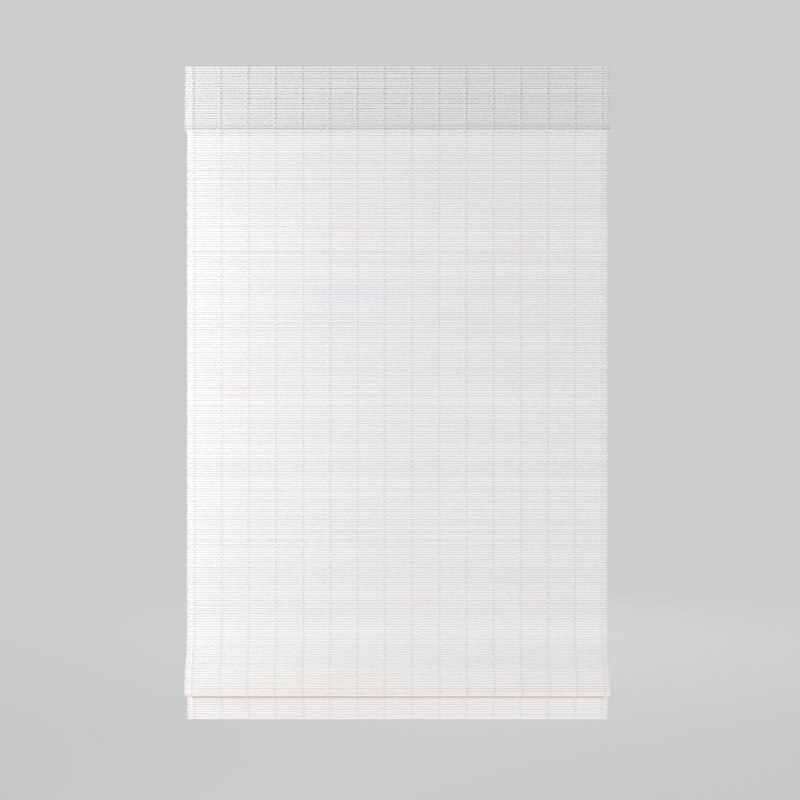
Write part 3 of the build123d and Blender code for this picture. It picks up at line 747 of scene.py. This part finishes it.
def torus_faces(points, start):
    """Four-sided faces on a grid that closes on itself both ways."""
    index = start + np.arange(points[..., 0].size).reshape(points.shape[:3])
    side, up = np.roll(index, -1, 1), np.roll(index, -1, 2)
    return np.stack([index, side, np.roll(side, -1, 2), up], -1).reshape(-1, 4)


def moulded(name, colour, roughness):
    """Moulded plastic: a faint mottle in colour and gloss, and a fine skin."""
    material, shader, wire, place = new_finish(name, roughness)
    mottle = noise_on(place, (160.0, 160.0, 160.0), 3.0)
    skin = noise_on(place, (2500.0, 2500.0, 2500.0))
    plug(wire.mix(mottle, darker(0.94, colour), colour), shader, "Base Color")
    plug(roughness - 0.08 + mottle * 0.16, shader, "Roughness")
    relief(shader, skin, 0.08, 0.0002)
    return material


ring_plastic = moulded("ring_plastic", (0.86, 0.87, 0.88), 0.28)
flat_axes, upright_axes = ((1, 0, 0), (0, 1, 0), (0, 0, 1)), ((0, 1, 0), (0, 0, 1), (1, 0, 0))
for k in range(1, row_count + 1):
    level = ring_levels[k]
    rings = tori([(x, cord_y, level) for x in cord_places], flat_axes, ring_radius, ring_wire)
    ties = [(x + s, panel_y + loop_behind, level) for x in cord_places for s in (-loop_aside, loop_aside)]
    loops = tori(ties, upright_axes, loop_radius, loop_wire)
    ring_size, loop_size = rings[..., 0].size, loops[..., 0].size
    faces = np.concatenate([torus_faces(rings, 0), torus_faces(loops, ring_size)]).tolist()
    points = np.concatenate([rings.reshape(-1, 3), loops.reshape(-1, 3)]) / mm
    slots = np.repeat([0, 1], [ring_size, loop_size])
    row = add_piece(f"rings_{k}", points, faces, [ring_plastic, panel_thread], slots)
    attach(row, f"ring_row_{k}")
    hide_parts(f"cord_rings_row_{k}")
print("ring rows at", ring_levels[1:].round(1))

# %% [markdown]
# A lift cord runs taut from the front of its spool, down through the rings to its anchor. A bevelled curve
# would do at rest, but only a mesh could shorten as the spool takes the cord up, so the cord is a mesh,
# though nothing here shortens it. Blender works out the points of the route's spline, and the tube is a
# ring of corners at each of them, with the braid in its material.

# %% Lift cords
cord_radius, cord_corners = 0.6, 12


def along_route(name, route):
    """The points along a route's NURBS spline, as Blender works them out, in metres."""
    curve = bpy.data.curves.new(name, "CURVE")
    curve.dimensions = "3D"
    spline = curve.splines.new("NURBS")
    spline.points.add(len(route) - 1)
    for point, place in zip(spline.points, route):
        point.co = (*place, 1.0)
    spline.order_u = 3
    spline.use_endpoint_u = True
    spline.resolution_u = 24
    holder = bpy.data.objects.new(name, curve)
    line = bpy.data.meshes.new_from_object(holder)
    points = np.array([vertex.co for vertex in line.vertices])
    bpy.data.objects.remove(holder)
    bpy.data.meshes.remove(line)
    return points


cord_braid = spun(
    "cord_braid",
    roughness=0.75,
    dark=(0.74, 0.74, 0.73),
    pale=(0.93, 0.93, 0.92),
    scale=500.0,
    distortion=2.0,
    strength=0.5,
    distance=0.0003,
)
turn = np.linspace(2 * np.pi, 0, cord_corners + 1)[:-1]
section = np.stack([np.cos(turn), np.sin(turn), 0 * turn], -1) * cord_radius / mm
for side, cord_x in zip(cord_sides, cord_places):
    top = (cord_x / mm, cord_y / mm, cord_top / mm)
    low = (cord_x / mm, cord_y / mm, cord_bottom / mm)
    line = along_route(f"route_{side}", [top, low])
    points = line[None, :, None, :] + section
    cord = add_piece(f"cord_{side}", points, grid_faces(points), [cord_braid])
    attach(cord, "headrail")
    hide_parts(f"lift_cord_{side}")
    length = (cord_top - cord_bottom) / mm
    1 - lift / mm / length
    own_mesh(cord)
print("cords", length, "m")

# %% [markdown]
# The remaining pieces keep their CAD shape and only get their finish: pale sanded wood for the rail and the
# batten, white enamel on the headrail, moulded plastic, zinc plated brackets, drawn and blued steel, and
# the nap of hook and loop tape.


# %% Finishes of the hardware
def sanded_wood(name, pale, dark):
    """Wood with its grain along x: stretched noise for the year rings and finer noise for the pores."""
    material, shader, wire, place = new_finish(name, 0.6)
    rings = noise_on(place, (3.0, 160.0, 160.0), 3.0)
    pores = noise_on(place, (40.0, 1800.0, 1800.0))
    plug(wire.mix(rings * 0.7 + pores * 0.3, dark, pale), shader, "Base Color")
    plug(0.5 + pores * 0.25, shader, "Roughness")
    relief(shader, pores, 0.3, 0.0004)
    return material


def metal(name, colour, roughness, stretch, spread):
    """Bare metal with a grain: noise in its colour and its gloss."""
    material, shader, wire, place = new_finish(name, roughness)
    shader.inputs["Metallic"].default_value = 1.0
    grain = noise_on(place, stretch, 3.0)
    plug(wire.mix(grain, darker(1 - spread, colour), colour), shader, "Base Color")
    plug(roughness - 0.1 + grain * 0.2, shader, "Roughness")
    return material


def enamel(name, colour):
    """Baked enamel: an even colour with a faint orange peel."""
    material, shader, wire, place = new_finish(name, 0.36)
    peel = noise_on(place, (420.0, 420.0, 420.0))
    plug(wire.mix(peel, darker(0.97, colour), colour), shader, "Base Color")
    plug(0.3 + peel * 0.12, shader, "Roughness")
    relief(shader, peel, 0.05, 0.0003)
    return material


def tape_nap(name, colour):
    """Hook and loop tape: a fine nap that is rough and shows small loops."""
    material, shader, wire, place = new_finish(name, 0.9)
    cells = wire.node("ShaderNodeTexVoronoi", None, {"Vector": place, "Scale": 1400.0})
    plug(wire.mix(cells, colour, darker(0.72, colour)), shader, "Base Color")
    relief(shader, cells, 0.6, 0.0004)
    return material


finishes = {
    "natural_wood": sanded_wood("natural_wood", (0.70, 0.585, 0.495), (0.545, 0.44, 0.355)),
    "headrail_paint": enamel("headrail_enamel", (0.84, 0.84, 0.83)),
    "white_plastic": moulded("white_plastic", (0.85, 0.85, 0.84), 0.42),
    "grey_plastic": moulded("grey_plastic", (0.42, 0.43, 0.44), 0.45),
    "clear_plastic": ring_plastic,
    "bracket_steel": metal("zinc_plate", (0.66, 0.67, 0.69), 0.38, (60.0, 60.0, 60.0), 0.25),
    "shaft_steel": metal("drawn_steel", (0.58, 0.59, 0.61), 0.30, (8.0, 900.0, 900.0), 0.2),
    "spring_steel": metal("blued_steel", (0.25, 0.29, 0.36), 0.32, (900.0, 30.0, 30.0), 0.3),
    "hook_tape": tape_nap("hook_tape", (0.84, 0.84, 0.83)),
    "white_reeds": panel_paint,
    "white_thread": panel_thread,
    "cord": cord_braid,
}
for row in frame["record"]["subparts"]:
    node = frame["nodes"][row["node"]]
    for slot in node.material_slots:
        slot.material = finishes[row["material_slot"]]
print(len(finishes), "finishes on", len(frame["nodes"]), "nodes")

# %% Measure and finish
low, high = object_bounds()
triangles = sum(len(p.vertices) - 2 for piece in strips for p in piece.data.polygons)
print("panel triangles", triangles, "visual box", [round(v, 4) for v in low], [round(v, 4) for v in high])
